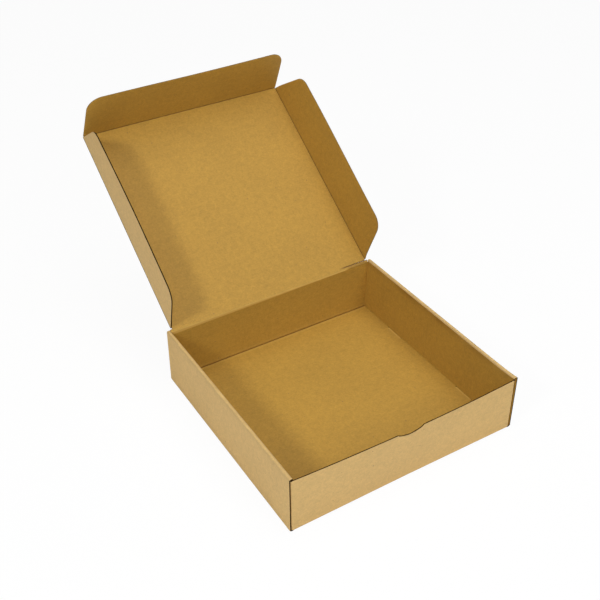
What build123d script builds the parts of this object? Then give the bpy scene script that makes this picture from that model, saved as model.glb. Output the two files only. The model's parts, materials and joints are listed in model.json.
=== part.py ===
from build123d import *
import math
import os

# A one-piece die-cut mailer of corrugated board, folded up, with its lid open.
# The origin is the centre of the tray's underside. The front wall faces -Y, the lid hangs at +Y.

# Driving dimensions in millimetres
board = 1.5             # thickness of the corrugated board
inner_width = 305.0     # between the inner side panels, at their tops
inner_depth = 305.0     # between the front wall and the back wall
wall_height = 76.0      # top edge of the front wall above the table
side_rise = 3.5         # the rolled side walls stand this much above the front wall
inner_lean = 3.5        # the foot of an inner side panel stands this far in from its top
front_bow = 4.0         # the free top edge of the front wall bellies out this far

base_fold = 1.5         # radius of the folds round the base, at the middle of the board
roll_fold = 1.2         # radius of the two folds along the top of a side wall
corner_fold = 1.25      # radius of the upright folds at the corners

thumb_width = 35.0      # thumb cut in the front wall
thumb_depth = 4.5

tab_width = 30.0        # lock tabs of the inner side panels
tab_spacing = 152.0     # between the middles of the two tabs of one panel
tab_root = 1.5          # a tab is one with its panel from this far above the panel's foot
corner_flap_length = 72.0
corner_flap_square = 24.0   # the flap keeps its full height this far back, then tapers
corner_flap_taper = 6.0

lid_tilt = 35.0         # the open lid stands this many degrees above level, behind the tray
lid_lay_back = 14.0     # it can be laid back this many degrees below level, near the table
tuck_angle = 82.5       # how far the tuck flap is folded in from the lid's plane
dust_front_taper = 33.0
dust_back_taper = 17.5
left_dust_angle = 87.5
right_dust_angle = 84.0
flap_corner = 20.0      # radius of the flaps' outer corners
slit_length = 36.0      # short cuts at the two ends of the hinge crease
slit_offset = 3.0       # from the hinge crease to the cut
slit_width = 0.4

# Clearances
layer_play = 0.25       # between two layers of board that lie against each other
end_play = 0.5          # between the ends of an inner side panel and the front and back walls
foot_play = 0.2         # under the foot of an inner side panel
tab_play = 0.35         # round a lock tab in its slot
lid_play = 0.55         # between the lid's edge and an inner side panel
lid_front_play = 2.0    # by which the shut lid is shorter than the inside of the tray
tuck_play = 2.0         # by which the tuck flap is shorter than the front wall is high
tuck_inset = 1.0        # the tuck flap starts this far inside the lid's edges
tuck_side_play = 0.5    # between its free edge and the foot of an inner side panel
dust_play = 6.0         # by which the dust flaps are shorter than the front wall is high
crease_play = 0.25      # between the board on one side of a moving crease and its round edge
flap_play = 1.5         # between the ends of the lid's flaps at a corner
corner_flap_play = 3.0  # from the base, and from the top of the wall, to a corner flap

# Sizes that follow
half_board = board / 2
side_cavity = board + 2 * layer_play
side_thickness = 2 * board + side_cavity
width = inner_width + 2 * side_thickness
depth = inner_depth + 2 * board
side_height = wall_height + side_rise
half_width = width / 2
half_depth = depth / 2
outer_middle = half_width - half_board
inner_middle = half_width - side_thickness + half_board
foot_middle = inner_middle - inner_lean
corner_flap_middle = half_width - board - layer_play - half_board
front_half_width = corner_flap_middle - corner_fold
fold_height = base_fold + half_board
roll_start = side_height - half_board - roll_fold
wall_root = 2 * fold_height
crease_reach = half_board + crease_play

lid_width = inner_width - 2 * lid_play
lid_length = inner_depth - lid_front_play
tuck_length = wall_height - tuck_play
dust_length = wall_height - dust_play
dust_crease = lid_width / 2 - half_board
hinge_y = half_depth - half_board
hinge_z = wall_height + half_board
lay_back = math.radians(lid_lay_back)
lid_underside = half_board * (1 + math.sin(lay_back)) / math.cos(lay_back)
back_wall_height = hinge_z - lid_underside - crease_play


def board_along(middle_line, plane, length):
    """Board that follows its middle line, and runs this far to both sides of the plane."""
    return extrude(plane * trace(middle_line, board), length, both=True)


def folded_strip(corners, radii, plane, length):
    """A strip of board whose middle line runs through the corners, with rounded folds."""
    return board_along(FilletPolyline(*corners, radius=radii), plane, length)


def block(low, high):
    """A box between two opposite corners."""
    size = [b - a for a, b in zip(low, high)]
    middle = [(a + b) / 2 for a, b in zip(low, high)]
    return Pos(*middle) * Box(*size)


def base_panel():
    reach_x = half_width - fold_height
    reach_y = half_depth - fold_height
    panel = block((-reach_x, -reach_y, 0), (reach_x, reach_y, board))
    return panel - tab_slots()


def tab_middles():
    return [-tab_spacing / 2, tab_spacing / 2]


def tab_slots():
    """Slots in the base that the lock tabs of both side walls stand in."""
    reach = half_board + tab_play
    half_length = tab_width / 2 + tab_play
    slots = []
    for side in (-1, 1):
        for middle in tab_middles():
            x = side * foot_middle
            low = (x - reach, middle - half_length, -board)
            high = (x + reach, middle + half_length, 2 * board)
            slots.append(block(low, high))
    return slots


def right_side_wall():
    """Outer panel, rolled top and inner panel, folded in one run from the base."""
    top = side_height - half_board
    drop = top - board - foot_play
    lean_back = inner_lean * half_board / drop
    corners = [
        (half_width - wall_root, half_board),
        (outer_middle, half_board),
        (outer_middle, top),
        (inner_middle, top),
        (foot_middle, board + foot_play + lean_back),
    ]
    wall = folded_strip(corners, [base_fold, roll_fold, roll_fold], Plane.XZ, half_depth)
    for end in (-1, 1):
        wall -= inner_panel_end(end)
    for middle in tab_middles():
        wall += lock_tab(middle)
    return wall


def inner_panel_end(end):
    """What is cut from the inner panel so that it fits between the front and back walls."""
    cavity_middle = half_width - side_thickness / 2
    low = (foot_middle - board, inner_depth / 2 - end_play, board + foot_play / 2)
    high = (cavity_middle, half_depth + board, roll_start)
    cut = block(low, high)
    return cut if end > 0 else mirror(cut, Plane.XZ)


def lock_tab(middle):
    """The foot of the inner panel, carried on down through its slot in the base."""
    x = foot_middle
    low = (x - half_board, middle - tab_width / 2, foot_play)
    high = (x + half_board, middle + tab_width / 2, board + foot_play + tab_root)
    return block(low, high)


def thumb_cut():
    radius = (thumb_width**2 / 4 + thumb_depth**2) / (2 * thumb_depth)
    centre = (0, -half_depth, wall_height - thumb_depth + radius)
    through = 2 * (front_bow + 2 * board)
    return Pos(*centre) * Rot(90, 0, 0) * Cylinder(radius, through)


def wall_section(height, bow):
    """Level section of the front wall, with its middle bellied out by the bow."""
    front = -half_depth
    ends = [(-front_half_width, front), (front_half_width, front)]
    if bow > 0:
        outside = ThreePointArc(ends[0], (0, front - bow), ends[1])
        inside = ThreePointArc(
            (ends[1][0], front + board), (0, front + board - bow), (ends[0][0], front + board)
        )
    else:
        outside = Line(ends[0], ends[1])
        inside = Line((ends[1][0], front + board), (ends[0][0], front + board))
    right = Line(outside @ 1, inside @ 0)
    left = Line(inside @ 1, outside @ 0)
    return Pos(0, 0, height) * make_face([outside, right, inside, left])


def base_fold_strip():
    """The fold from the base up into the front wall, as far as the fold's own height."""
    fold_start = (-half_depth + fold_height, half_board)
    fold_end = (-half_depth + half_board, fold_height)
    level = Line((-half_depth + wall_root, half_board), fold_start)
    fold = TangentArc(fold_start, fold_end, tangent=(-1, 0))
    return board_along(level + fold, Plane.YZ, front_half_width)


def front_wall():
    rising = loft([wall_section(fold_height, 0), wall_section(wall_height, front_bow)], ruled=True)
    return base_fold_strip() + (rising - thumb_cut()) + corner_flaps(wall_height)


def back_wall():
    """Straight wall that ends just under the hinge crease, clear of the lid when it lies back."""
    low = (-front_half_width, -half_depth, fold_height)
    high = (front_half_width, -half_depth + board, back_wall_height)
    wall = base_fold_strip() + block(low, high) + corner_flaps(back_wall_height)
    return mirror(wall, Plane.XZ)


def corner_flaps(top):
    """Flaps folded back from both ends of a front wall, tucked into the side walls."""
    front = -half_depth
    corners = [
        (front_half_width - half_board, front + half_board),
        (corner_flap_middle, front + half_board),
        (corner_flap_middle, front + corner_flap_length),
    ]
    height = top - 2 * corner_flap_play
    strip = folded_strip(corners, [corner_fold], Plane.XY, height / 2)
    strip = Pos(0, 0, top / 2) * strip
    right = strip & corner_flap_outline(top)
    return right + mirror(right, Plane.YZ)


def corner_flap_outline(top):
    front = -half_depth
    low = corner_flap_play
    high = top - corner_flap_play
    square = front + corner_flap_square
    end = front + corner_flap_length
    outline = Polyline(
        (front, low), (square, low), (end, low + corner_flap_taper),
        (end, high - corner_flap_taper), (square, high), (front, high), close=True,
    )
    return extrude(Plane.YZ * make_face(outline), width)


def make_tray():
    right = right_side_wall()
    return base_panel() + right + mirror(right, Plane.YZ) + front_wall() + back_wall()


def lid_plane():
    """The lid's own plane: x along the hinge, y towards the tuck flap, z to the inside."""
    tilt = math.radians(lid_tilt)
    inside = (0, -math.sin(tilt), math.cos(tilt))
    return Plane(origin=(0, hinge_y, hinge_z), x_dir=(1, 0, 0), z_dir=inside)


def round_edged_panel(half_x, low_y, high_y):
    """A flat panel whose four edges are rounded, so that what is creased to it can turn."""
    panel = block((-half_x, low_y, -half_board), (half_x, high_y, half_board))
    middle = (low_y + high_y) / 2
    for x in (-half_x, half_x):
        panel += Pos(x, middle, 0) * Rot(90, 0, 0) * Cylinder(half_board, high_y - low_y)
    for y in (low_y, high_y):
        panel += Pos(0, y, 0) * Rot(0, 90, 0) * Cylinder(half_board, 2 * half_x)
        for x in (-half_x, half_x):
            panel += Pos(x, y, 0) * Sphere(half_board)
    return panel


def hinge_slits():
    slits = []
    for side in (-1, 1):
        inner = side * (dust_crease - slit_length)
        outer = side * (dust_crease + board)
        low = (min(inner, outer), slit_offset, -board)
        high = (max(inner, outer), slit_offset + slit_width, board)
        slits.append(block(low, high))
    return slits


def make_lid():
    panel = round_edged_panel(dust_crease, 0, lid_length) - hinge_slits()
    return lid_plane().location * panel


def flap_plate(outline):
    """A flat flap from its outline, with its two outer corners rounded."""
    plate = extrude(make_face(outline), half_board, both=True)
    uprights = plate.edges().filter_by(Axis.Z)
    outer_corners = uprights.sort_by(lambda edge: abs(edge.center().X - crease_reach))[-2:]
    return fillet(outer_corners, flap_corner)


def dust_flap_plate():
    """A dust flap that lies flat: its crease is the Y axis and it points to +X."""
    back = slit_offset + slit_width + flap_play
    front = lid_length - flap_play
    outline = Polyline(
        (crease_reach, back), (dust_length, back + dust_back_taper),
        (dust_length, front - dust_front_taper), (crease_reach, front), close=True,
    )
    return flap_plate(outline)


def make_dust_flap(side, angle):
    """Side is 1 for the right flap and -1 for the left one."""
    flap = Rot(0, -angle, 0) * dust_flap_plate()
    flap = Pos(dust_crease, 0, 0) * flap
    if side < 0:
        flap = mirror(flap, Plane.YZ)
    return lid_plane().location * flap


def make_tuck_flap():
    """The tuck flap narrows towards its free edge, which comes down between the inner panels."""
    root = lid_width / 2 - tuck_inset
    end = inner_width / 2 - inner_lean - tuck_side_play
    outline = Polyline(
        (crease_reach, -root), (tuck_length, -end), (tuck_length, end),
        (crease_reach, root), close=True,
    )
    flap = Rot(0, 0, 90) * flap_plate(outline)
    flap = Pos(0, lid_length, 0) * Rot(tuck_angle, 0, 0) * flap
    return lid_plane().location * flap


def make_parts():
    return {
        "tray": make_tray(),
        "lid": make_lid(),
        "tuck_flap": make_tuck_flap(),
        "left_dust_flap": make_dust_flap(-1, left_dust_angle),
        "right_dust_flap": make_dust_flap(1, right_dust_angle),
    }


def export_parts():
    os.makedirs("parts", exist_ok=True)
    for name, shape in make_parts().items():
        export_step(shape, f"parts/{name}.step")


export_parts()
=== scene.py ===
"""A kraft mailer box of fine corrugated board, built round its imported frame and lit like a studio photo."""

import json
import math

import bmesh
import bpy
import numpy as np
from mathutils import Matrix, Vector


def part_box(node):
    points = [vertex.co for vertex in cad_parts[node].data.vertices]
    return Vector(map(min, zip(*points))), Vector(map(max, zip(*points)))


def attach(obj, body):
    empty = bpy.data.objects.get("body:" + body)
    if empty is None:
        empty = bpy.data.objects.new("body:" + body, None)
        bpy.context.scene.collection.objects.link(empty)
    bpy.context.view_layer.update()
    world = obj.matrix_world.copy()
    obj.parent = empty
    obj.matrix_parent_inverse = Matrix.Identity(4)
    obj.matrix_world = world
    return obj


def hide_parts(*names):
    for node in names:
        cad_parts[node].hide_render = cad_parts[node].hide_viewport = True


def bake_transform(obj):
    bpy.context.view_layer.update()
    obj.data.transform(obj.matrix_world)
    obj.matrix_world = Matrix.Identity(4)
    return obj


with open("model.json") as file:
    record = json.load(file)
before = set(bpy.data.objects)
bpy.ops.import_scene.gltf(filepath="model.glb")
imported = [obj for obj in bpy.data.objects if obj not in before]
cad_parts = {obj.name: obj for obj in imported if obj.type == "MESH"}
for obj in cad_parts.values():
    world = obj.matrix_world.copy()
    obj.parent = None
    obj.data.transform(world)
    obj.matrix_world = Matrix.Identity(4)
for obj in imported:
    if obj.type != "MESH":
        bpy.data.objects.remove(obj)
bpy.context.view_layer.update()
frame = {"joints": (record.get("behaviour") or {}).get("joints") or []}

BOTH = (-1, 1)          # left and right, or front and back
TINY = 1e-6             # room for rounding where places are compared

# The board. All lengths are in metres
BOARD = 0.0015          # from face to face
LINER = 0.00028         # one paper liner
MEDIUM = 0.0002         # the fluted paper between the liners
PITCH = 0.0032          # from flute to flute
WAVE_STEPS = 8          # straight pieces in one flute
HALF = BOARD / 2
FLUTE_INSET = 0.0003    # how far in from a cut the fluted paper ends
SMALL_INSET = 0.0002    # at the thumb cut and the lock tabs
TUCK_FLUTE_INSET = 0.0004
CUT_PINCH = 0.15        # how much of its thickness the board loses at a clean cut
CRUSHED = 0.45          # and at a crushed one
PINCH_REACH = 0.0012    # how far in from the cut this goes
FADE = 0.012            # shifts at edges and folds come in or die away over this length
SHARP_ANGLE = 32        # in degrees: sharper edges aren't shaded smooth

# The tray
FOLD_POINTS = 9         # points round one fold of a profile
BASE_FOLD = 0.0015      # radius of the folds at the walls' feet
ROLL_FOLD = 0.0012      # at the side walls' tops
TAB_FOLD = 0.001        # where the lock tabs turn down
CORNER_FOLD = 0.00125   # at the corner flaps
SIDE_CAVITY = 0.002
INNER_LEAN = 0.0035
FRONT_BOW = 0.004
BACK_BOW = 0.0006
FLOOR_BELLY = 0.0008    # how far the base stands up
FLOOR_RIM = 0.05        # width over which it comes down again to the walls
SIDE_SWAY = 0.0018      # a slow wave in the inner side panels
SWAY_RATE = 4.1
LAYER_PLAY = 0.00025
END_PLAY = -0.0002      # the rolled panels press on the front and back walls
FOOT_PLAY = 0.0002
THUMB_WIDTH = 0.035
THUMB_DEPTH = 0.0045
THUMB_NICK = 0.001      # at both ends of the thumb cut
EDGE_WANDER = 0.0002    # how far the front wall's cut edge is off the straight
TAB_WIDTH = 0.030
TAB_SPACING = 0.152
TAB_MIDDLES = (-TAB_SPACING / 2, TAB_SPACING / 2)
TAB_PLAY = 0.00035
SLOT_NICK = 0.0008      # the small holes at both ends of a slot
CORNER_FLAP_LENGTH = 0.072
CORNER_FLAP_PLAY = 0.003
CORNER_FLAP_TAPER = 0.006
CORNER_FOOT_DROP = 0.0008   # how much further down a corner flap goes at its fold
CORNER_TOP_GAP = 0.0003     # and how far it is from the wall's top there
CORNER_STEP = 0.004     # it takes its own height over this length
# How far the folded walls stand out from the straight lines, as in the photo
TOP_SPREAD = 0.0010
LEFT_FOOT_SPREAD = 0.0026
RIGHT_FOOT_SPREAD = 0.0003
FRONT_FOOT_SPREAD = 0.0017
RIGHT_FLARE = 0.0018    # at the front end of the right side wall
FOOT_CUT = 0.0025       # the folds at the side walls' feet stop this far short of their ends
ROLL_STEP = 0.00005     # the inner panel takes its own width this far past the roll
SQUEEZED_BACK = 0.0003  # its last columns start this far in from its ends
SQUEEZED_STEP = 0.0002  # and are spread over this width
# How deep the fluted paper is built from a cut in the tray, in flutes
FRONT_FLUTES = 4
SIDE_FLUTES = 2.5
TAB_FLUTE_START = 0.004     # how far above the lock tabs it starts

# The lid and its flaps
SLIT_LENGTH = 0.036
SLIT_OFFSET = 0.003
SLIT_WIDTH = 0.0004
SLIT_CLOSED = 0.00005   # what is left of the left slit
SLIT_GAPE = 0.0001      # how far the right one has opened at its end
LID_BELLY = 0.0011
LID_WAVE = 0.0004
HINGE_REACH = 0.0019    # how far the hinge crease goes on past the dust flaps' creases
TUCK_INSET = 0.001
TUCK_SHORT = 0.002      # the tuck flap is this much shorter than the walls are high
TUCK_END_PLAY = 0.0005
TUCK_BELLY = 0.0012
TUCK_BELLY_RATE = 2.2
TUCK_LEAN = 0.0008
TUCK_CURL = 0.0025      # at its left end
RIGHT_FLAP_SHIFT = 0.0013
LEFT_FLAP_SHIFT = 0.0004
RIGHT_FLAP_CUT = 0.0006
FLAP_PLAY = 0.0015
FLAP_CORNER = 0.020
DUST_SHORT = 0.006      # the dust flaps are this much shorter than the walls are high
DUST_FRONT_TAPER = 0.033
DUST_BACK_TAPER = 0.0175
DUST_BEND = 0.07        # a dust flap bends out of flat over this reach
DUST_WAVE = 0.0009
DUST_WAVE_RATE = 5.2
DUST_LEAN = 0.0006
LEFT_TWIST = (0.0009, 0.0016)   # at the hinge, and how much less at the front
DUST_END = 0.001        # from its ends to its fluted paper and the right one's cut
SLIVER = 0.0004         # the least width of a flap beside its crease
CREASE = 0.0014         # the crushed board on each side of a moving crease

# What the creasing rules left on the paper, and the painted light and painted shade at the folds, slots, slit
# and hinge
RULE_REACH = 0.0009     # half the width of a rule's line
DENT = 0.0007           # its depth on the inside of a fold
FOLD_PRESS = 0.8
# Pale lines of painted light beside the folds and slots, against the shade there: how strong they are, how
# far off and how wide
FOLD_PAINTED_LIGHT = (0.35, 0.003, 0.0018)
SLOT_PAINTED_LIGHT = (0.8, 0.0022, 0.0009)
HIGHLIGHT_DEPTH = 0.0017     # the band of painted highlight at the top of the back wall, at its middle
HIGHLIGHT_SLANT = 0.0019     # how much deeper it is at the left end
HIGHLIGHT_FADE = 0.0008
SLIT_SHADE_REACH = 0.0007
STRIP_SHADE = 0.3       # how dark the painted shade on the strip between the right slit and the hinge is
STRIP_FADE = 0.0006
SHADE_START = 0.001     # the shade starts this far before the slit

# How far apart the lines of the panels' grids are
STRIP_GRID = 0.008
SIDE_GRID = 0.010
CORNER_GRID = 0.012
LID_GRID = 0.009
FLAP_GRID = 0.006
TUCK_GRID = 0.05        # as a share of the flap's half width
# More lines, by their distance from the cut, fold or corner that needs them
FRONT_EDGE_LINES = (0.0003, 0.0008, 0.0016, 0.003, 0.006, 0.010)
HINGE_EDGE_LINES = (0.0005, 0.001, 0.0015, 0.002, 0.0025, 0.003, 0.0035, 0.004)
FOLD_LINES = (-0.006, -0.0045, -0.003, 0.003, 0.0045, 0.006)
SLOT_LINES = (0, 0.0006, 0.0014)
SLOT_END_LINES = (-SLOT_NICK, 0, SLOT_NICK)
THUMB_LINES = (-0.001, -0.0001, 0.0001, 0.001)
THUMB_ARC_LINES = 25
WALL_END_LINES = (0.0004, 0.0012, 0.003, 0.006)
CORNER_FLAP_LINES = (0.004, 0.006, 0.008)
SLIT_LINE = 0.0008
LID_LINES = (0.0042, 0.0055, 0.0075)    # the lid's fluted paper starts at the first
FLAP_END_LINES = (0.0005, 0.001, 0.002)
# Where the dust flaps' round corners are, from their back and front ends, and the lines over each
BACK_CORNER = (0.012, 0.04)
FRONT_CORNER = (0.055, 0.022)
ROUND_CORNER_LINES = 24
TUCK_CORNER_ANGLES = (5, 10, 20, 30, 40, 50, 60, 70, 78, 84, 88)
# As shares of a flap's half width or reach
TUCK_SIDE_LINES = (-0.997, -0.99, 0.99, 0.997)
DUST_LINES = (0, 0.12, 0.25, 0.4, 0.55, 0.7, 0.82, 0.9, 0.95, 0.98, 0.993, 1.0)
# Lines over a crease from body to body, over each half of a split one, and along either
CREASE_LINES, HALF_CREASE_LINES, ALONG_CREASE_LINES = 21, 11, 41
CORNER_FLAP_COLUMNS = 8
# Points along one flute
FRONT_FLUTE_POINTS, LID_FLUTE_POINTS, TUCK_FLUTE_POINTS, DUST_FLUTE_POINTS = 16, 9, 15, 5

# Paper colours
OUTER_LIGHT = (0.707, 0.466, 0.168)
OUTER_DARK = (0.523, 0.344, 0.124)
INNER_LIGHT = (0.510, 0.288, 0.039)
INNER_DARK = (0.340, 0.190, 0.025)
# Painted light: the pale colour of the inner paper beside the folds and slots and at the top of the back
# wall; the outer paper uses its light tone
INNER_PAINTED_LIGHT = (0.62, 0.39, 0.09)
# Crease lines: partly the creased paper's own darker colour, partly painted shade in the folds
OUTER_CREASE_SHADE = (0.36, 0.24, 0.105)
INNER_CREASE_SHADE = (0.12, 0.050, 0.008)
OUTER_MARK, INNER_MARK = 0.45, 0.9      # how much of that colour a rule's line has
# The dark cut edges and fluted paper: partly the cut paper's own colour, partly painted shade from between
# the liners
RAW_LIGHT = (0.050, 0.020, 0.005)
RAW_DARK = (0.012, 0.006, 0.002)
PALE_RAW_LIGHT = (0.32, 0.19, 0.05)
PALE_RAW_DARK = (0.20, 0.11, 0.025)
SPECK = (0.16, 0.09, 0.04, 1)
WHITE = (1, 1, 1, 1)

# The paper's texture
PAPER_ROUGHNESS, PAPER_SPECULAR = 0.7, 0.5
RAW_ROUGHNESS, RAW_SPECULAR = 0.95, 0.05
# Each noise's scale, detail and, where it isn't the usual one, roughness
PAPER_NOISE = {"cloud": (14, 2.0), "blotch": (130, 2.0), "mottle": (330, 4.0, 0.65), "grain": (1100, 2.0),
               "patch": (30, 2.0)}
RAW_NOISE = (420, 4.0, 0.7)
RAW_BUMP_NOISE = (2500, 2.0)
# How much each part tells in the colour
PAPER_SHARES = {"cloud": 0.5, "blotch": 0.8, "mottle": 1.5, "grain": 1.2, "hair": 0.4, "flute": 0.06}
RAW_SHARE = 1.5
MIDDLE_TONE = 0.5
# How deep each part goes in the bump
PAPER_BUMPS = {"grain": 0.00005, "hair": 0.00003, "flute": 0.00002}
RAW_BUMP = 0.00012
# Each family of fibres: its angle in degrees, their length and its seed
FIBRES = ((8, 0.0035, 3), (68, 0.0028, 5), (-52, 0.0028, 7))
FIBRE_WIDTH = 0.0004
FIBRE_NOISE = (1.0, 2.0, 0.6)
FLUTE_PATCH = 0.35      # raises the patches of noise where the flutes show under the paper
# Each kind of speck: the size of its cells, its own size and its seed
SPECKS = ((0.009, 0.0004, 2), (0.024, 0.0009, 9))
EMPTY_CELLS = 0.7       # the share of cells with no speck in it
SPECK_SHARE = 0.55

# Light and floor
WORLD_LIGHT = 0.175
FLOOR_WHITE = 0.9
FLOOR_GLOW = 0.94
FLOOR_REACH = 30.0
FLOOR_DROP = 0.0002     # how far it lies under the tray
GLOW_INSET = 0.006      # the floor's glow ends this far in under the tray
LAMP_TARGET = (0, 0.1, 0.1)
# Each lamp's place, its width in metres and its watts
LAMPS = {
    "overhead": ((0, 0.56, 3.57), 1.8, 26),
    "overhead_right": ((0.5, -0.2, 1.6), 0.9, 6.2),
    "front_fill": ((0.18, -1.34, 1.18), 0.85, 10.6),
    "key_left": ((-1.45, -0.535, 1.40), 0.33, 16.2),
}

# The camera
CAMERA_PLACE = (-0.514332, -0.786869, 0.833826)
CAMERA_LOOK = (0.413533, 0.700401, -0.581746)
CAMERA_ROLL = -1.11
CAMERA_LENS = 58.195
CAMERA_SENSOR = 36

# Taken from the frame
joints = {j["name"]: j for j in frame["joints"]}
tray_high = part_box("tray")[1]
half_width = tray_high.x
side_height = tray_high.z
hinge = Vector(joints["lid_hinge"]["pos_m"])
half_depth = hinge.y + HALF
wall_height = hinge.z - HALF
lid_tilt = math.pi + math.radians(joints["lid_hinge"]["range_deg"][0])
lid_way = Vector((0, math.cos(lid_tilt), math.sin(lid_tilt)))
lid_inside = Vector((0, -math.sin(lid_tilt), math.cos(lid_tilt)))
lid_length = (Vector(joints["tuck_flap_fold"]["pos_m"]) - hinge).length
dust_crease = joints["right_dust_flap_fold"]["pos_m"][0]

# Worked out from it
side_thickness = 2 * BOARD + SIDE_CAVITY
front_half_width = half_width - BOARD - LAYER_PLAY - HALF - CORNER_FOLD
side_root = half_width - 2 * (BASE_FOLD + HALF)     # where the base ends and a side wall starts
panel_foot = half_width - side_thickness + HALF - INNER_LEAN
nick_x = panel_foot - HALF - TAB_PLAY - SLOT_NICK
panel_half = dust_crease - CREASE                   # half the lid between the dust flaps' creases
strip_half = dust_crease + HINGE_REACH              # half the strip between the slits and the hinge
slit_start = dust_crease - SLIT_LENGTH
slit_low, slit_high = SLIT_OFFSET, SLIT_OFFSET + SLIT_WIDTH
tuck_root = dust_crease + HALF - TUCK_INSET
tuck_length = wall_height - TUCK_SHORT
dust_length = wall_height - DUST_SHORT
dust_low = slit_high + FLAP_PLAY
dust_high = lid_length - FLAP_PLAY


def add_object(name, data):
    made = bpy.data.objects.new(name, data)
    bpy.context.scene.collection.objects.link(made)
    return made


def smooth(t):
    """Rises smoothly from 0 to 1 as t goes from 0 to 1."""
    t = np.clip(t, 0, 1)
    return t * t * (3 - 2 * t)


def bell(distance, reach):
    """Falls off on both sides of a line."""
    return np.exp(-(distance / reach) ** 2)


def spaced(low, high, gap, extra=()):
    """Values from low to high about this far apart, with the extra ones among them."""
    marks = sorted({low, high, *(e for e in extra if low < e < high)})
    out = [low]
    for a, b in zip(marks, marks[1:]):
        count = max(1, round((b - a) / gap))
        out += [a + (b - a) * (k + 1) / count for k in range(count)]
    return np.array(out)


def waves(first, last):
    """Places across the flutes, close enough together to draw their waves."""
    return np.arange(first, last, PITCH / WAVE_STEPS)


def grid(alongs, acrosses):
    return [np.array(a) for a in np.meshgrid(alongs, acrosses, indexing="ij")]


def cell_middles(values):
    """What a grid's values are in the middles of its cells."""
    return (values[:-1, :-1] + values[1:, 1:]) / 2


def node(tree, kind, inputs=(), **settings):
    """Adds a node, sets its properties and fills or links its inputs."""
    made = tree.nodes.new("ShaderNode" + kind)
    for name, value in settings.items():
        setattr(made, name, value)
    for socket, value in dict(inputs).items():
        if isinstance(value, bpy.types.NodeSocket):
            tree.links.new(value, made.inputs[socket])
        else:
            made.inputs[socket].default_value = value
    return made


def maths(tree, operation, *values, clamp=False):
    return node(tree, "Math", enumerate(values), operation=operation, use_clamp=clamp).outputs[0]


def noise(tree, vector, scale, detail=3.0, roughness=0.55):
    """Noise about zero, from roughly -0.5 to 0.5."""
    made = node(tree, "TexNoise",
                {"Vector": vector, "Scale": scale, "Detail": detail, "Roughness": roughness})
    return maths(tree, "SUBTRACT", made.outputs["Fac"], 0.5)


def fibres(tree, vector, angle, length, seed):
    """Short fibres lying one way: noise that is stretched along them."""
    turned = node(tree, "Mapping", {"Vector": vector, "Rotation": (0, 0, math.radians(angle)),
                                    "Location": (seed, 1.7 * seed, 0)}).outputs[0]
    thin = node(tree, "Mapping", {"Vector": turned, "Scale": (1 / length, 1 / FIBRE_WIDTH, 1)}).outputs[0]
    return noise(tree, thin, *FIBRE_NOISE)


def specks(tree, vector, cell, size, seed):
    """One where a dark speck of bark or ink is, in a few of the cells, and nothing between them."""
    moved = node(tree, "Mapping", {"Vector": vector, "Location": (seed, seed, 0)}).outputs[0]
    cells = node(tree, "TexVoronoi", {"Vector": moved, "Scale": 1 / cell}, voronoi_dimensions="2D")
    shade = node(tree, "SeparateColor", {"Color": cells.outputs["Color"]})
    reach = maths(tree, "MULTIPLY", shade.outputs["Red"], size / cell)
    dark = maths(tree, "LESS_THAN", cells.outputs["Distance"], reach)
    chosen = maths(tree, "GREATER_THAN", shade.outputs["Green"], EMPTY_CELLS)
    return maths(tree, "MULTIPLY", dark, chosen)


def mix_colour(tree, factor, first, second):
    """The mixing node's inputs 6 and 7 and its output 2 are the ones for colours."""
    made = node(tree, "Mix", {0: factor, 6: first, 7: second}, data_type="RGBA", clamp_factor=True)
    return made.outputs[2]


def add_bump(tree, shader, height):
    """Height is in metres."""
    bump = node(tree, "Bump", {"Height": height, "Strength": 1.0, "Distance": 1.0})
    tree.links.new(bump.outputs[0], shader.inputs["Normal"])


def start_material(name, roughness, specular):
    material = bpy.data.materials.new(name)
    material.use_nodes = True
    tree = material.node_tree
    shader = tree.nodes["Principled BSDF"]
    shader.inputs["Roughness"].default_value = roughness
    shader.inputs["Specular IOR Level"].default_value = specular
    return material, tree, shader


def liner_material(name, light, dark, crease, crease_mark, painted_light, seed):
    """Kraft paper: cloudy, mottled and fibrous, with specks and a faint trace of the flutes under it."""
    material, tree, shader = start_material(name, PAPER_ROUGHNESS, PAPER_SPECULAR)
    flat = node(tree, "UVMap", uv_map="blank").outputs[0]
    vector = node(tree, "Mapping", {"Vector": flat, "Location": (seed, seed * 0.7, 0)}).outputs[0]
    parts = {kind: noise(tree, vector, *settings) for kind, settings in PAPER_NOISE.items()}
    hair, *others = [fibres(tree, vector, *settings) for settings in FIBRES]
    for other in others:
        hair = maths(tree, "ADD", hair, other)
    split = node(tree, "SeparateXYZ", {"Vector": flat})
    wave = maths(tree, "SINE", maths(tree, "MULTIPLY", split.outputs["Y"], 2 * math.pi / PITCH))
    patch = maths(tree, "ADD", parts["patch"], FLUTE_PATCH, clamp=True)
    parts.update(hair=hair, flute=maths(tree, "MULTIPLY", wave, patch))
    value = MIDDLE_TONE
    for kind, share in PAPER_SHARES.items():
        value = maths(tree, "MULTIPLY_ADD", parts[kind], share, value)
    speck = maths(tree, "MAXIMUM", *[specks(tree, vector, *settings) for settings in SPECKS])
    tone = mix_colour(tree, value, (*dark, 1), (*light, 1))
    tone = mix_colour(tree, maths(tree, "MULTIPLY", speck, SPECK_SHARE), tone, SPECK)
    # Crease lines, partly painted shade, the painted shade at the lid's right slit, and painted light beside
    # the folds and slots and at the hinge
    pressed = node(tree, "Attribute", attribute_name="pressed").outputs["Fac"]
    for strength, colour in ((crease_mark, crease), (-1, painted_light)):
        share = maths(tree, "MULTIPLY", pressed, strength, clamp=True)
        tone = mix_colour(tree, share, tone, (*colour, 1))
    tree.links.new(tone, shader.inputs["Base Color"])
    height = maths(tree, "MULTIPLY", parts["grain"], PAPER_BUMPS["grain"])
    for kind in ("hair", "flute"):
        height = maths(tree, "MULTIPLY_ADD", parts[kind], PAPER_BUMPS[kind], height)
    add_bump(tree, shader, height)
    return material


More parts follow.
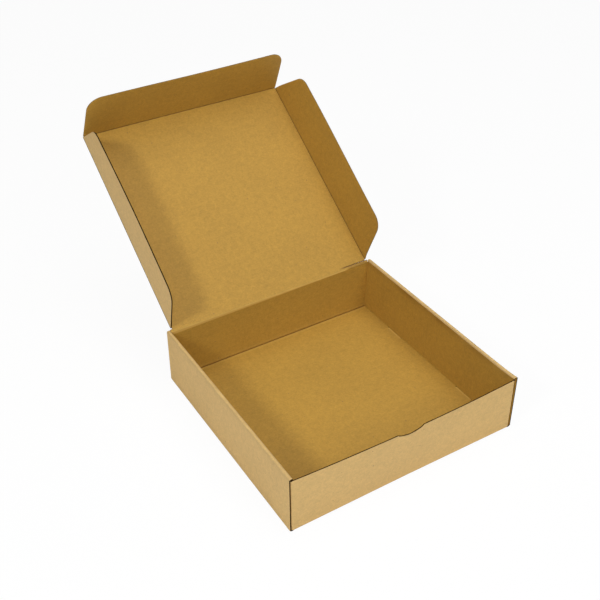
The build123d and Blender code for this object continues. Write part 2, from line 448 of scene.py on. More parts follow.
def edge_material(name, light, dark):
    """Raw paper where the board was cut, or the fluted paper inside it: dark, rough and uneven. The dark
    versions are partly the cut paper's own colour and partly painted shade from between the liners.
    """
    material, tree, shader = start_material(name, RAW_ROUGHNESS, RAW_SPECULAR)
    vector = node(tree, "TexCoord").outputs["Object"]
    value = maths(tree, "MULTIPLY_ADD", noise(tree, vector, *RAW_NOISE), RAW_SHARE, MIDDLE_TONE)
    tree.links.new(mix_colour(tree, value, (*dark, 1), (*light, 1)), shader.inputs["Base Color"])
    add_bump(tree, shader, maths(tree, "MULTIPLY", noise(tree, vector, *RAW_BUMP_NOISE), RAW_BUMP))
    return material


def make_materials():
    return {
        "outer": liner_material("kraft_outer", OUTER_LIGHT, OUTER_DARK, OUTER_CREASE_SHADE, OUTER_MARK, OUTER_LIGHT,
                                seed=0),
        "inner": liner_material("kraft_inner", INNER_LIGHT, INNER_DARK, INNER_CREASE_SHADE, INNER_MARK, INNER_PAINTED_LIGHT,
                                seed=31),
        "medium": edge_material("fluted_paper", RAW_LIGHT, RAW_DARK),
        "edge": edge_material("cut_edge", RAW_LIGHT, RAW_DARK),
        "pale_medium": edge_material("pale_fluted_paper", PALE_RAW_LIGHT, PALE_RAW_DARK),
        "pale_edge": edge_material("pale_cut_edge", PALE_RAW_LIGHT, PALE_RAW_DARK),
    }


PAPERS = make_materials()


class Profile:
    """The middle line of folded board, in a plane: corners with rounded folds, by distance along it."""

    def __init__(self, corners, radii):
        corners = [np.array(c, float) for c in corners]
        ways = [(b - a) / np.linalg.norm(b - a) for a, b in zip(corners, corners[1:])]
        points, tangents = [corners[0]], [ways[0]]
        for corner, into, out, radius in zip(corners[1:], ways, ways[1:], radii):
            turn = math.atan2(into[0] * out[1] - into[1] * out[0], into @ out)
            start = corner - into * radius * math.tan(abs(turn) / 2)
            side = np.array((-into[1], into[0])) * math.copysign(1, turn)
            centre = start + side * radius
            for step in range(FOLD_POINTS):
                angle = turn * step / (FOLD_POINTS - 1)
                spin = np.array(((math.cos(angle), -math.sin(angle)), (math.sin(angle), math.cos(angle))))
                points.append(centre + spin @ (start - centre))
                tangents.append(spin @ into)
        self.points = np.array([*points, corners[-1]])
        self.tangents = np.array([*tangents, ways[-1]])
        gaps = np.linalg.norm(np.diff(self.points, axis=0), axis=1)
        self.knots = np.concatenate(((0.0,), np.cumsum(gaps)))
        self.length = self.knots[-1]

    def fold(self, number):
        """How far along the line one of its folds starts and ends, counted from 0."""
        first = 1 + number * FOLD_POINTS
        return self.knots[first], self.knots[first + FOLD_POINTS - 1]

    def at(self, distance):
        """The middle line's point there, and the normal to its left."""
        place = [np.interp(distance, self.knots, self.points[:, k]) for k in (0, 1)]
        way = [np.interp(distance, self.knots, self.tangents[:, k]) for k in (0, 1)]
        size = np.hypot(*way)
        return place, (-way[1] / size, way[0] / size)


def same_kind(kind, along):
    return kind


def no_marks(along, across):
    return np.zeros_like(along)


class Sheet:
    """Collects the faces of one piece of board."""

    def __init__(self, edge="edge", core="medium"):
        self.points, self.faces, self.uvs, self.kinds, self.pressed = [], [], [], [], []
        self.edge, self.core = edge, core
        # Where a panel lies on the flat blank, so that the paper's grain runs on over the folds
        self.on_blank = lambda along, across: (along, across)
        # What a face shows, by its place along the panel
        self.face_kind = same_kind
        # Crease marks from 0 to 1, partly from a creasing rule and partly painted shade, and painted shade by
        # the lid's right slit; below 0, painted light
        self.crease_and_light_marks = no_marks

    def slab(self, place, along, across, top, bottom, kinds, present=None):
        """A thin closed layer between two heights over a grid of sheet coordinates."""
        rows, columns = along.shape
        if present is None:
            present = np.ones((rows - 1, columns - 1), bool)
        first = len(self.points)
        size = rows * columns
        for height in (top, bottom):
            spots = place(along, across, height * np.ones_like(along))
            self.points += np.stack(spots, -1).reshape(-1, 3).tolist()
            self.pressed += self.crease_and_light_marks(along, across).ravel().tolist()
        flat = np.stack(self.on_blank(along, across), -1).reshape(-1, 2).tolist()
        number = np.arange(size).reshape(rows, columns)

        def add(corners, levels, kind):
            self.faces.append([first + c + level * size for c, level in zip(corners, levels)])
            self.uvs.append([flat[c] for c in corners])
            self.kinds.append(kind)

        for r, c in zip(*np.nonzero(present)):
            ring = [number[r, c], number[r, c + 1], number[r + 1, c + 1], number[r + 1, c]]
            add(ring, (0, 0, 0, 0), self.face_kind(kinds[0], along[r, c]))
            add(ring[::-1], (1, 1, 1, 1), kinds[1])
            neighbours = ((r - 1, c), (r, c + 1), (r + 1, c), (r, c - 1))
            for k, (nr, nc) in enumerate(neighbours):
                inside = 0 <= nr < rows - 1 and 0 <= nc < columns - 1
                if inside and present[nr, nc]:
                    continue
                a, b = ring[k], ring[(k + 1) % 4]
                add((a, a, b, b), (0, 1, 1, 0), kinds[2])

    def liners(self, place, along, across, keep=1.0, present=None):
        """Both paper liners over the grid. Keep is how much of its thickness the board has at each point."""
        for face, side in (("outer", -1), ("inner", 1)):
            top, bottom = side * HALF * keep, side * (HALF * keep - LINER)
            self.slab(place, along, across, top, bottom, (face, self.core, self.edge), present)

    def flutes(self, place, along, across, keep=1.0):
        """The fluted paper. Along runs with the flutes, in rows, and across crosses them, in columns."""
        swing = (HALF * keep - LINER - MEDIUM / 2) * np.sin(2 * math.pi * across / PITCH)
        self.slab(place, along, across, swing + MEDIUM / 2, swing - MEDIUM / 2, (self.core,) * 3)

    def build(self, name):
        mesh = bpy.data.meshes.new(name)
        mesh.from_pydata(self.points, [], self.faces)
        mesh.attributes.new("pressed", "FLOAT", "POINT").data.foreach_set("value", self.pressed)
        layer = mesh.uv_layers.new(name="blank")
        layer.data.foreach_set("uv", np.array([u for face in self.uvs for u in face], np.float32).ravel())
        order = list(PAPERS)
        for material in PAPERS.values():
            mesh.materials.append(material)
        mesh.polygons.foreach_set("material_index", [order.index(k) for k in self.kinds])
        shape = bmesh.new()
        shape.from_mesh(mesh)
        bmesh.ops.recalc_face_normals(shape, faces=shape.faces)
        shape.to_mesh(mesh)
        shape.free()
        mesh.polygons.foreach_set("use_smooth", [True] * len(mesh.polygons))
        mesh.set_sharp_from_angle(angle=math.radians(SHARP_ANGLE))
        piece = add_object(name, mesh)
        return piece

    def build_board(self, body):
        """One panel's piece, which takes the place of its body's plain node."""
        piece = self.build(body + "_board")
        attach(piece, body)
        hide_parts(body)


def surface(origin, along_way, across_way, inside, bulge):
    """Maps sheet coordinates onto a flat panel with a slight bulge."""
    def place(along, across, height):
        height = height + bulge(along, across)
        return [origin[k] + along * along_way[k] + across * across_way[k] + height * inside[k]
                for k in range(3)]
    return place


def mirrored(place, axis):
    """The same surface on the other side of the box."""
    def other(along, across, height):
        spots = list(place(along, across, height))
        spots[axis] = -spots[axis]
        return spots
    return other


def settled(place):
    """The same surface on a folded tray, which is wider than drawn, most of all at its left front foot."""
    def spread(along, across, height):
        x, y, z = place(along, across, height)
        low = 1 - np.clip(z / side_height, 0, 1)
        left, right = np.clip(-x / half_width, 0, 1), np.clip(x / half_width, 0, 1)
        foot = RIGHT_FOOT_SPREAD * right - LEFT_FOOT_SPREAD * left
        wider = TOP_SPREAD * (right - left) * (1 - low) + foot * low
        forward = FRONT_FOOT_SPREAD * left * low * np.clip(-y / half_depth, 0, 1)
        return x + wider, y - forward, z
    return spread


def pinch(distance, depth=CUT_PINCH):
    """Cut edges are crushed a little by the die: how much thickness is kept this far from the cut."""
    return 1 - depth * np.exp(-np.maximum(distance, 0) / PINCH_REACH)


def thumb_drop(x):
    """How far the thumb cut lowers the front wall's edge, with a nick at both ends of the arc."""
    radius = (THUMB_WIDTH ** 2 / 4 + THUMB_DEPTH ** 2) / (2 * THUMB_DEPTH)
    inside = np.abs(x) < THUMB_WIDTH / 2
    arc = THUMB_DEPTH - radius + np.sqrt(np.maximum(radius ** 2 - x ** 2, 0))
    return np.where(inside, np.maximum(arc, 0) + THUMB_NICK, 0)


def edge_wander(x, size, seed):
    """How far a cut edge is off the straight. Each wave has a rate, a share and a shift."""
    parts = ((61, 1, 1), (173, 0.6, 2.1), (411, 0.4, 1))
    return size * sum(share * np.sin(x * rate + shift * seed) for rate, share, shift in parts) / 2


def rule(distance):
    """How hard a creasing rule bore on the board this far from its middle."""
    return bell(distance, RULE_REACH)


# A pale line of painted light, against the shade beside a fold or slot
def painted_light_line(distance, strength, gap, reach):
    return strength * bell(distance - gap, reach)


def fold_mark(distance):
    """Crease mark along the rule's line, partly painted shade, and painted light a little off both sides of
    it.
    """
    return FOLD_PRESS * rule(distance) - painted_light_line(np.abs(distance), *FOLD_PAINTED_LIGHT)


def tray_strip():
    """The front wall, base and back wall as one strip: its profile, and where its middle is along it."""
    front = -half_depth + HALF
    corners = [(front, wall_height), (front, HALF), (-front, HALF), (-front, hinge.z - CREASE)]
    profile = Profile(corners, [BASE_FOLD, BASE_FOLD])
    return profile, profile.knots[FOLD_POINTS] - profile.points[FOLD_POINTS][0]


tray_profile, base_middle = tray_strip()
# Where the rules of the front and back folds pressed, along the strip
base_rules = [np.mean(tray_profile.fold(k)) for k in (0, 1)]
hinge_on_blank = tray_profile.length + CREASE - base_middle


def painted_highlight_at_hinge(along, below):
    """How much painted highlight the inside of the back wall has, this far below its top. The band is wider
    on the left.
    """
    depth = HIGHLIGHT_DEPTH - HIGHLIGHT_SLANT * along / half_width
    return smooth((depth - below) / HIGHLIGHT_FADE)


def strip_place(along, across, height):
    """Maps the tray's strip onto its folded shape, with a bowed front wall and a slightly raised base."""
    fold_top = BASE_FOLD + HALF
    (y, z), (ny, nz) = tray_profile.at(across)
    dent = sum(rule(across - middle) for middle in base_rules)
    height = height - DENT * dent * (height > 0)
    rise = np.clip((z - fold_top) / (wall_height - fold_top), 0, 1)
    front = y < 0
    span = 1 - (along / front_half_width) ** 2
    bow = FRONT_BOW * span * rise * front
    back_bow = -BACK_BOW * span * rise * (1 - rise) * 4 * ~front
    from_walls = [(half_depth - np.abs(y)) / FLOOR_RIM, (half_width - np.abs(along)) / FLOOR_RIM]
    floor = FLOOR_BELLY * smooth(from_walls[0]) * smooth(from_walls[1])
    return along, y + height * ny - bow - back_bow, z + height * nz + floor * (z < fold_top)


def strip_creases_and_painted_light(along, across):
    """Crease marks at the strip's two folds, painted light beside them and the slots, and painted light at
    the back wall's top by the hinge.
    """
    folds = sum(fold_mark(across - fold) for fold in base_rules)
    at_tab = np.abs(np.abs(across - base_middle) - TAB_SPACING / 2) < TAB_WIDTH / 2
    slot_light = painted_light_line(panel_foot - np.abs(along), *SLOT_PAINTED_LIGHT) * at_tab
    return folds - painted_highlight_at_hinge(along, tray_profile.length - across) - slot_light


def strip_lines():
    """The rows and columns of the strip's grid, closer together at its edges, folds and cuts."""
    slot_x = [side * (panel_foot + end * (HALF + TAB_PLAY)) for side in BOTH for end in BOTH]
    slot_x += [side * (nick_x - gap) for side in BOTH for gap in SLOT_LINES]
    thumb_x = [side * (THUMB_WIDTH / 2 + gap) for side in BOTH for gap in THUMB_LINES]
    thumb_x += list(np.linspace(-THUMB_WIDTH / 2, THUMB_WIDTH / 2, THUMB_ARC_LINES)[1:-1])
    columns = spaced(-side_root, side_root, STRIP_GRID, slot_x + thumb_x)
    slot_rows = [base_middle + (middle + end * (TAB_WIDTH / 2 + TAB_PLAY + nick))
                 for middle in TAB_MIDDLES for end in BOTH for nick in SLOT_END_LINES]
    hinge_rows = [tray_profile.length - below for below in HINGE_EDGE_LINES]
    fold_rows = [fold + gap for fold in base_rules for gap in FOLD_LINES]
    extra = [*tray_profile.knots, *slot_rows, *FRONT_EDGE_LINES, *hinge_rows, *fold_rows]
    return spaced(0, tray_profile.length, STRIP_GRID, extra), columns


def in_slot(x, y):
    """Whether a place on the base, from its middle, is in a slot for a lock tab."""
    from_tab = np.abs(np.abs(y) - TAB_SPACING / 2)
    slot = (np.abs(np.abs(x) - panel_foot) < HALF + TAB_PLAY) & (from_tab < TAB_WIDTH / 2 + TAB_PLAY)
    # A round-ended slot shows as a small hole at both ends of the tab
    to_end = np.abs(from_tab - TAB_WIDTH / 2 - TAB_PLAY)
    return slot | ((to_end < SLOT_NICK) & (np.abs(x) > nick_x) & (np.abs(x) < panel_foot))


def add_tray_strip(sheet):
    place = settled(strip_place)
    sheet.on_blank = lambda along, across: (along, across - base_middle)
    sheet.crease_and_light_marks = strip_creases_and_painted_light
    across, along = grid(*strip_lines())
    # The walls and their folds are wider than the base between the side walls' roots
    up = (across < tray_profile.fold(0)[1] - TINY) | (across > tray_profile.fold(1)[0] + TINY)
    along[:, 0] = np.where(up[:, 0], -front_half_width, -side_root)
    along[:, -1] = -along[:, 0]
    drop = thumb_drop(along) + edge_wander(along, EDGE_WANDER, seed=3)
    across = across + drop * np.clip(1 - across / FADE, 0, 1)
    cut_out = in_slot(cell_middles(along), cell_middles(across) - base_middle)
    sheet.liners(place, along, across, pinch(across - drop), ~cut_out)
    reach, flute_rows = grid(np.linspace(0, 1, FRONT_FLUTE_POINTS), waves(0, FRONT_FLUTES * PITCH))
    start = THUMB_WIDTH / 2 * np.sqrt(np.clip(1 - flute_rows / THUMB_DEPTH, 0, 1)) + SMALL_INSET
    for side in BOTH:
        stretch = side * (start + reach * (front_half_width - start))
        sheet.flutes(place, stretch, flute_rows + FLUTE_INSET, pinch(flute_rows))


def side_profile():
    """The right side wall with its rolled top, inner panel and lock tabs, and where the panel ends."""
    top = side_height - HALF
    outer = half_width - HALF
    inner = half_width - side_thickness + HALF
    corners = [(side_root, HALF), (outer, HALF), (outer, top), (inner, top),
               (panel_foot, BOARD + FOOT_PLAY), (panel_foot, FOOT_PLAY)]
    profile = Profile(corners, [BASE_FOLD, ROLL_FOLD, ROLL_FOLD, TAB_FOLD])
    return profile, profile.length - BOARD


def add_side_wall(sheet, side):
    profile, foot = side_profile()
    roll_end = profile.fold(2)[1]
    folds = [np.mean(profile.fold(k)) for k in range(3)]
    sheet.on_blank = lambda along, across: (side * (side_root + along), across)
    sheet.crease_and_light_marks = lambda along, across: sum(rule(along - fold) for fold in folds)
    # Inside the box the rolled panel shows the outer liner, but it takes the darker inner paper: painted
    # shade for the inside of the box
    sheet.face_kind = lambda kind, along: "inner" if kind == "outer" and along >= roll_end - TINY else kind

    def place(along, across, height):
        (x, z), (nx, nz) = profile.at(along)
        share = np.clip(across / half_depth, -1, 1)
        rise = np.clip(z / side_height, 0, 1)
        sway = SIDE_SWAY * np.sin(share * SWAY_RATE + side) * rise * (1 - rise) * (along > roll_end)
        flare = RIGHT_FLARE * (side > 0) * np.exp(-(half_depth + across) / FADE) * (1 + rise) / 2
        return side * (x + height * nx + sway + flare), across, z + height * nz

    place = settled(place)
    ends = [side * (half_depth - gap) for side in BOTH for gap in WALL_END_LINES]
    tab_ends = [middle + end * TAB_WIDTH / 2 for middle in TAB_MIDDLES for end in BOTH]
    columns = spaced(-half_depth, half_depth, SIDE_GRID, ends + tab_ends)
    rows = spaced(0, profile.length, SIDE_GRID, [*profile.knots, roll_end + ROLL_STEP, foot])
    along, across = grid(rows, columns)
    fold_start, fold_end = profile.fold(0)
    cut_back = FOOT_CUT * (1 - smooth((along - fold_start) / (fold_end - fold_start)))
    across = across * (1 - cut_back / half_depth)
    inner_half = half_depth - BOARD - END_PLAY
    inner = along > roll_end + TINY
    across = np.where(inner, np.clip(across, -inner_half, inner_half), across)
    # Columns that the shorter inner panel leaves on one line are spread again
    squeezed = inner & (np.abs(across) >= inner_half)
    step = SQUEEZED_STEP * np.maximum(np.abs(columns)[None, :] - inner_half, 0) / BOARD
    across = np.where(squeezed, np.sign(across) * (inner_half - SQUEEZED_BACK + step), across)
    on_tab = np.abs(np.abs(cell_middles(across)) - TAB_SPACING / 2) < TAB_WIDTH / 2
    present = (cell_middles(along) < foot) | on_tab
    sheet.liners(place, along, across, pinch(half_depth - np.abs(across)), present)
    for end in BOTH:
        for low, high, limit in ((0, roll_end, half_depth), (roll_end, foot, inner_half)):
            lengths = rows[(rows >= low) & (rows <= high)]
            flute_along, depth = grid(lengths, waves(0, SIDE_FLUTES * PITCH))
            sheet.flutes(place, flute_along, end * (limit - FLUTE_INSET - depth), pinch(depth))
    for middle in TAB_MIDDLES:
        lengths = [foot - TAB_FLUTE_START, foot, profile.length - SMALL_INSET]
        flute_along, flute_across = grid(lengths, middle + waves(-TAB_WIDTH / 2, TAB_WIDTH / 2))
        sheet.flutes(place, flute_along, flute_across)


def add_corner_flaps(sheet):
    """The flaps at the ends of the front and back walls, folded back into the side walls."""
    sheet.face_kind = same_kind
    # The side walls' marks stay on: the first of them falls just past these flaps' own fold
    middle = front_half_width + CORNER_FOLD
    front = -half_depth + HALF
    corners = [(front_half_width, front), (middle, front), (middle, -half_depth + CORNER_FLAP_LENGTH)]
    profile = Profile(corners, [CORNER_FOLD])

    def place(along, across, height):
        (x, y), (nx, ny) = profile.at(along)
        return x + height * nx, y + height * ny, across

    for back, top in ((False, wall_height), (True, hinge.z - CREASE)):
        end = hinge_on_blank if back else base_middle
        rows = spaced(0, profile.length, CORNER_GRID, [*profile.knots, *CORNER_FLAP_LINES])
        along, share = grid(rows, np.linspace(0, 1, CORNER_FLAP_COLUMNS))
        run = np.clip((along - CORNER_FLAP_LENGTH / 3) / (CORNER_FLAP_LENGTH * 2 / 3), 0, 1)
        taper = CORNER_FLAP_TAPER * run
        # At its fold a corner flap is nearly as high as the wall
        away = smooth((along - CORNER_FOLD * math.pi / 2) / CORNER_STEP)
        low = CORNER_FLAP_PLAY + taper - CORNER_FOOT_DROP * (1 - away)
        high = top - taper - CORNER_FLAP_PLAY + (CORNER_FLAP_PLAY - CORNER_TOP_GAP) * (1 - away)
        across = low + share * (high - low)
        for side in BOTH:
            turned = mirrored(place, 1) if back else place
            turned = settled(mirrored(turned, 0) if side < 0 else turned)
            way = 1 if back else -1
            sheet.on_blank = lambda u, z: (side * (front_half_width + u), way * (end - CREASE - top + z))
            sheet.liners(turned, along, across)


def make_tray():
    sheet = Sheet()
    add_tray_strip(sheet)
    for side in BOTH:
        add_side_wall(sheet, side)
    add_corner_flaps(sheet)
    sheet.build_board("tray")


def lid_bulge(along, across):
    """The open lid bellies a little, and is flat at its creases."""
    u = np.clip(1 - (along / dust_crease) ** 2, 0, 1)
    v = np.clip(across / lid_length, 0, 1)
    return -LID_BELLY * u * np.sin(math.pi * v) + LID_WAVE * u * np.sin(2 * math.pi * v)


def lid_painted_shade(along, across):
    """Painted shade along the right slit, and a little on the strip between it and the hinge."""
    line = bell(across - slit_low, SLIT_SHADE_REACH)
    below = STRIP_SHADE * smooth((slit_low - across) / STRIP_FADE)
    return (line + below) * (along > slit_start - SHADE_START)


def make_lid():
    sheet = Sheet()
    sheet.on_blank = lambda along, across: (along, hinge_on_blank + across)
    sheet.crease_and_light_marks = lid_painted_shade
    place = surface(hinge, Vector((1, 0, 0)), lid_way, lid_inside, lid_bulge)
    slit_rows = [slit_low - SLIT_LINE, slit_low, slit_high]
    rows = spaced(CREASE, lid_length - CREASE, LID_GRID, [*slit_rows, *LID_LINES])
    columns = spaced(-panel_half, panel_half, LID_GRID, [-slit_start, slit_start])
    across, along = grid(rows, columns)
    hinge_side = across <= slit_low + TINY
    along[:, 0] = np.where(hinge_side[:, 0], -strip_half, -panel_half)
    along[:, -1] = -along[:, 0]
    # The left slit is nearly closed, and the right one has opened a little and curves
    closed = (slit_high - slit_low - SLIT_CLOSED) * (along < 0) * (np.abs(across - slit_high) < TINY)
    across = across - closed
    opened = smooth((along - slit_start) / SLIT_LENGTH)
    dying = np.clip(1 - (across - slit_high) / FADE, 0, 1)
    across = across + SLIT_GAPE * opened * dying * (across > slit_low + TINY)
    in_slit = (rows[:-1, None] >= slit_low - TINY) & (rows[1:, None] <= slit_high + TINY)
    in_slit = (np.abs(cell_middles(along)) > slit_start) & in_slit
    sheet.liners(place, along, across, present=~in_slit)
    half_flute = panel_half - FLUTE_INSET
    flute_rows = waves(LID_LINES[0], lid_length - CREASE)
    sheet.flutes(place, *grid(np.linspace(-half_flute, half_flute, LID_FLUTE_POINTS), flute_rows))
    sheet.build_board("lid")


def flap_ways(name, sideways):
    """The way in which a flap stands out from its crease, and the way in which its inside faces."""
    fold = math.radians(joints[name + "_fold"]["range_deg"][1])
    out = sideways * math.cos(fold) + lid_inside * math.sin(fold)
    inside = lid_inside * math.cos(fold) - sideways * math.sin(fold)
    return out, inside


def corner_inset(depth, reach):
    """How far an edge has gone in where a corner rounds off, this far from the flap's free edge."""
    gap = np.clip(reach - depth, 0, reach)
    return reach - np.sqrt(np.maximum(reach ** 2 - gap ** 2, 0))


def tuck_half(across):
    """Half the tuck flap's width, this far from its crease."""
    end = half_width - side_thickness - INNER_LEAN - TUCK_END_PLAY
    tapered = tuck_root + (end - tuck_root) * across / tuck_length
    return tapered - corner_inset(tuck_length - across, FLAP_CORNER)


def make_tuck_flap():
    out, inside = flap_ways("tuck_flap", lid_way)

    def bulge(along, across):
        share = np.clip(across / tuck_length, 0, 1)
        curl = TUCK_CURL * share * np.clip(-along / tuck_root, 0, 1) ** 2
        belly = TUCK_BELLY * share ** 2 * np.cos(along / tuck_root * TUCK_BELLY_RATE)
        return belly - TUCK_LEAN * share + curl

    place = surface(hinge + lid_way * lid_length, Vector((1, 0, 0)), out, inside, bulge)
    sheet = Sheet("pale_edge", "pale_medium")
    sheet.on_blank = lambda along, across: (along, hinge_on_blank + lid_length + across)
    corner = [tuck_length - FLAP_CORNER * (1 - math.sin(a)) for a in np.radians(TUCK_CORNER_ANGLES)]
    rows = spaced(CREASE, tuck_length, FLAP_GRID, corner)
    across, share = grid(rows, spaced(-1, 1, TUCK_GRID, TUCK_SIDE_LINES))
    along = share * tuck_half(across)
    near = np.minimum(tuck_length - across, tuck_half(across) - np.abs(along))
    sheet.liners(place, along, across, pinch(near, CRUSHED))
    flute_rows = waves(CREASE, tuck_length - TUCK_FLUTE_INSET)
    share, flute_across = grid(np.linspace(-1, 1, TUCK_FLUTE_POINTS), flute_rows)
    flute_along = share * (tuck_half(flute_across) - FLUTE_INSET)
    sheet.flutes(place, flute_along, flute_across, pinch(tuck_length - flute_across, CRUSHED))
    sheet.build_board("tuck_flap")


def dust_reach(across):
    """How far a dust flap stands out from its crease, at each place along the crease."""
    reach = np.full_like(across, dust_length)
    for start, taper, way in ((dust_low, DUST_BACK_TAPER, 1), (dust_high, DUST_FRONT_TAPER, -1)):
        run = way * (across - start)
        slope = taper / (dust_length - CREASE)
        slant = CREASE + run / slope
        # The round corner between the slanted end and the free edge
        angle = math.atan2(1, slope)
        centre_run = taper + FLAP_CORNER * math.tan(angle / 2)
        first = centre_run - FLAP_CORNER * math.sin(angle)
        arc = dust_length - FLAP_CORNER + np.sqrt(np.maximum(FLAP_CORNER ** 2 - (centre_run - run) ** 2, 0))
        here = np.where(run < first, slant, np.where(run < centre_run, arc, dust_length))
        reach = np.minimum(reach, here)
    return np.maximum(reach, CREASE + SLIVER)


def make_dust_flap(name, side):
    out, inside = flap_ways(name, Vector((side, 0, 0)))
    origin = hinge + Vector((side * dust_crease + LEFT_FLAP_SHIFT * (side < 0), 0, 0))
    shift = RIGHT_FLAP_SHIFT * (side > 0)
    shorter = RIGHT_FLAP_CUT * (side > 0)
    low, high = dust_low, dust_high

    def bulge(along, across):
        share = np.clip(along / DUST_BEND, 0, 1)
        twist = (LEFT_TWIST[0] - LEFT_TWIST[1] * across / lid_length) * (side < 0)
        wave = DUST_WAVE * np.sin(across / lid_length * DUST_WAVE_RATE + side)
        return (wave - DUST_LEAN + twist) * share ** 1.5

    flat = surface(origin, out, lid_way, inside, bulge)

    def place(along, across, height):
        return flat(along, across + shift * smooth(along / FADE), height)

    # The left flap's edge is open and dark, partly with painted shade, the right one's crushed
    sheet = Sheet() if side < 0 else Sheet("pale_edge", "pale_medium")
    crushed = 0 if side < 0 else CRUSHED
    sheet.on_blank = lambda along, across: (side * (dust_crease + along), hinge_on_blank + across)
    ends = [low + gap for gap in FLAP_END_LINES] + [high - gap for gap in FLAP_END_LINES]
    corners = [*np.linspace(low + BACK_CORNER[0], low + BACK_CORNER[1], ROUND_CORNER_LINES),
               *np.linspace(high - FRONT_CORNER[0], high - FRONT_CORNER[1], ROUND_CORNER_LINES)]
    across, share = grid(spaced(low, high, FLAP_GRID, ends + corners), DUST_LINES)
    along = CREASE + share * (dust_reach(across) - shorter * (across > low + DUST_END) - CREASE)
    near = np.minimum(dust_reach(across) - along, np.minimum(across - low, high - across))
    sheet.liners(place, along, across, pinch(near, crushed))
    share, flute_across = grid(np.linspace(0, 1, DUST_FLUTE_POINTS), waves(low + DUST_END, high - DUST_END))
    flute_along = CREASE + share * (dust_reach(flute_across) - shorter - FLUTE_INSET - CREASE)
    sheet.flutes(place, flute_along, flute_across, pinch(dust_reach(flute_across) - flute_along, crushed))
    sheet.build_board(name)


def make_crease(name, bodies, axis_point, line, ways, insides, ranges, on_blank,
                painted_light=False, halves=False):
    """The crushed board over a moving fold, from the first body's edge round the hinge line to the second's.

    It is one piece that stays where it is built, or two halves on the two bodies where the joint only turns a
    little.
    """
    # Painted shade on the strip at the hinge's right end, and painted highlight along the rest of it
    def hinge_painted_light_and_shade(along, across):
        return np.where(along > slit_start, STRIP_SHADE, -smooth(0.5 - across / CREASE))

    def place(along, across, height):
        t = (across / CREASE + 1) / 2
        normal = [insides[0][k] * (1 - t) + insides[1][k] * t for k in range(3)]
        size = np.sqrt(sum(n ** 2 for n in normal))
        dent = (not painted_light) * DENT * rule(across) * (height > 0)
        curve = [CREASE * (ways[1][k] * t ** 2 - ways[0][k] * (1 - t) ** 2) for k in range(3)]
        level = height - dent
        return [axis_point[k] + along * line[k] + curve[k] + level * normal[k] / size for k in range(3)]

    def part(part_name, first, last, steps):
        sheet = Sheet()
        sheet.on_blank = on_blank
        sheet.crease_and_light_marks = hinge_painted_light_and_shade if painted_light else lambda along, across: rule(across)
        across, share = grid(np.linspace(first, last, steps), np.linspace(0, 1, ALONG_CREASE_LINES))
        blend = (across / CREASE + 1) / 2
        low = ranges[0][0] + (ranges[1][0] - ranges[0][0]) * blend
        high = ranges[0][1] + (ranges[1][1] - ranges[0][1]) * blend
        sheet.slab(place, low + (high - low) * share, across, HALF, -HALF, ("inner", "outer", "edge"))
        return sheet.build(part_name)

    if halves:
        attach(part(name + "_root", -CREASE, 0, HALF_CREASE_LINES), bodies[0])
        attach(part(name + "_flap", 0, CREASE, HALF_CREASE_LINES), bodies[1])
        return
    piece = part(name, -CREASE, CREASE, CREASE_LINES)
    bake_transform(piece)


def make_creases():
    x_way, z_way = Vector((1, 0, 0)), Vector((0, 0, 1))
    make_crease("hinge_crease", ("tray", "lid"), hinge, x_way, (z_way, lid_way),
                (Vector((0, -1, 0)), lid_inside), ((-strip_half, strip_half),) * 2,
                lambda along, across: (along, hinge_on_blank + across), painted_light=True)
    out, inside = flap_ways("tuck_flap", lid_way)
    make_crease("tuck_crease", ("lid", "tuck_flap"), hinge + lid_way * lid_length, x_way, (lid_way, out),
                (lid_inside, inside), ((-panel_half, panel_half), (-tuck_root, tuck_root)),
                lambda along, across: (along, hinge_on_blank + lid_length + across))
    for side, name in ((-1, "left_dust_flap"), (1, "right_dust_flap")):
        sideways = Vector((side, 0, 0))
        out, inside = flap_ways(name, sideways)
        make_crease(name + "_crease", ("lid", name), hinge + sideways * dust_crease, lid_way, (sideways, out),
                    (lid_inside, inside), ((dust_low, dust_high),) * 2,
                    lambda along, across: (side * (dust_crease + across), hinge_on_blank + along),
                    halves=True)


def make_floor():
    """A white table. What the camera sees of it is mostly its own light, so that its shadows stay faint."""
    mesh = bpy.data.meshes.new("table")
    corners = [(x * FLOOR_REACH, y * FLOOR_REACH, 0) for x, y in ((-1, -1), (1, -1), (1, 1), (-1, 1))]
    mesh.from_pydata(corners, [], [(0, 1, 2, 3)])
    floor = add_object("table", mesh)
    floor.location.z = -FLOOR_DROP
    material = bpy.data.materials.new("white_table")
    material.use_nodes = True
    tree = material.node_tree
    tree.nodes.remove(tree.nodes["Principled BSDF"])
    matt = node(tree, "BsdfDiffuse", {"Color": (FLOOR_WHITE,) * 3 + (1,)})
    glow = node(tree, "Emission", {"Color": WHITE, "Strength": 1.0})
    seen = node(tree, "LightPath").outputs["Is Camera Ray"]
    # There is no glow under the tray, where its slots look through
    spot = node(tree, "SeparateXYZ", {"Vector": node(tree, "TexCoord").outputs["Object"]})
    away = [maths(tree, "ABSOLUTE", spot.outputs[axis]) for axis in "XY"]
    beyond = [maths(tree, "GREATER_THAN", far, half - GLOW_INSET)
              for far, half in zip(away, (half_width, half_depth))]
    clear = maths(tree, "MAXIMUM", *beyond)
    share = maths(tree, "MULTIPLY", maths(tree, "MULTIPLY", seen, clear), FLOOR_GLOW)
    mixed = node(tree, "MixShader", {0: share, 1: matt.outputs[0], 2: glow.outputs[0]})
    tree.links.new(mixed.outputs[0], tree.nodes["Material Output"].inputs["Surface"])
    mesh.materials.append(material)


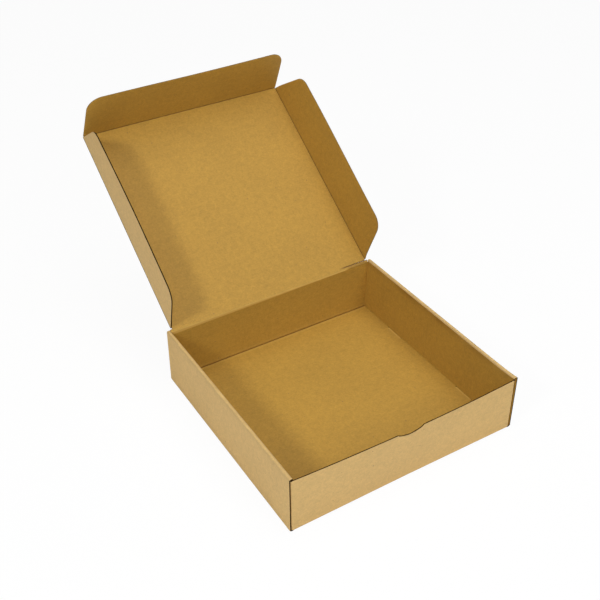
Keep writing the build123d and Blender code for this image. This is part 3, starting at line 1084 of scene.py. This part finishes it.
def make_world():
    """Even white light from all round, and plain white where nothing stands."""
    world = bpy.data.worlds.new("tent")
    bpy.context.scene.world = world
    world.use_nodes = True
    tree = world.node_tree
    sky = tree.nodes["Background"]
    sky.inputs["Color"].default_value = WHITE
    sky.inputs["Strength"].default_value = WORLD_LIGHT
    white = node(tree, "Background", {"Color": WHITE, "Strength": 1.0})
    path = node(tree, "LightPath")
    seen = maths(tree, "ADD", path.outputs["Is Camera Ray"], path.outputs["Is Glossy Ray"])
    seen = maths(tree, "ADD", seen, path.outputs["Is Transmission Ray"], clamp=True)
    mixed = node(tree, "MixShader", {0: seen, 1: sky.outputs[0], 2: white.outputs[0]})
    tree.links.new(mixed.outputs[0], tree.nodes["World Output"].inputs["Surface"])


def make_lamp(name, place, width, watts):
    """A square softbox that faces the box. The camera doesn't see it."""
    data = bpy.data.lights.new(name, "AREA")
    data.shape = "RECTANGLE"
    data.size = data.size_y = width
    data.energy = watts
    lamp = add_object(name, data)
    lamp.location = place
    lamp.rotation_euler = (Vector(place) - Vector(LAMP_TARGET)).to_track_quat("Z", "Y").to_euler()
    lamp.visible_camera = False


def make_camera():
    data = bpy.data.cameras.new("camera")
    data.sensor_width = CAMERA_SENSOR
    data.lens = CAMERA_LENS
    camera = add_object("camera", data)
    forward = Vector(CAMERA_LOOK).normalized()
    level = forward.cross(Vector((0, 0, 1))).normalized()
    upright = level.cross(forward)
    roll = math.radians(CAMERA_ROLL)
    right = level * math.cos(roll) + upright * math.sin(roll)
    up = right.cross(forward)
    camera.matrix_world = Matrix((right, up, -forward)).transposed().to_4x4()
    camera.matrix_world.translation = Vector(CAMERA_PLACE)
    bpy.context.scene.camera = camera


make_tray()
make_lid()
make_tuck_flap()
make_dust_flap("left_dust_flap", -1)
make_dust_flap("right_dust_flap", 1)
make_creases()
make_floor()
make_world()
for lamp_name, lamp_settings in LAMPS.items():
    make_lamp(lamp_name, *lamp_settings)
make_camera()
bpy.context.scene.view_settings.view_transform = "Standard"
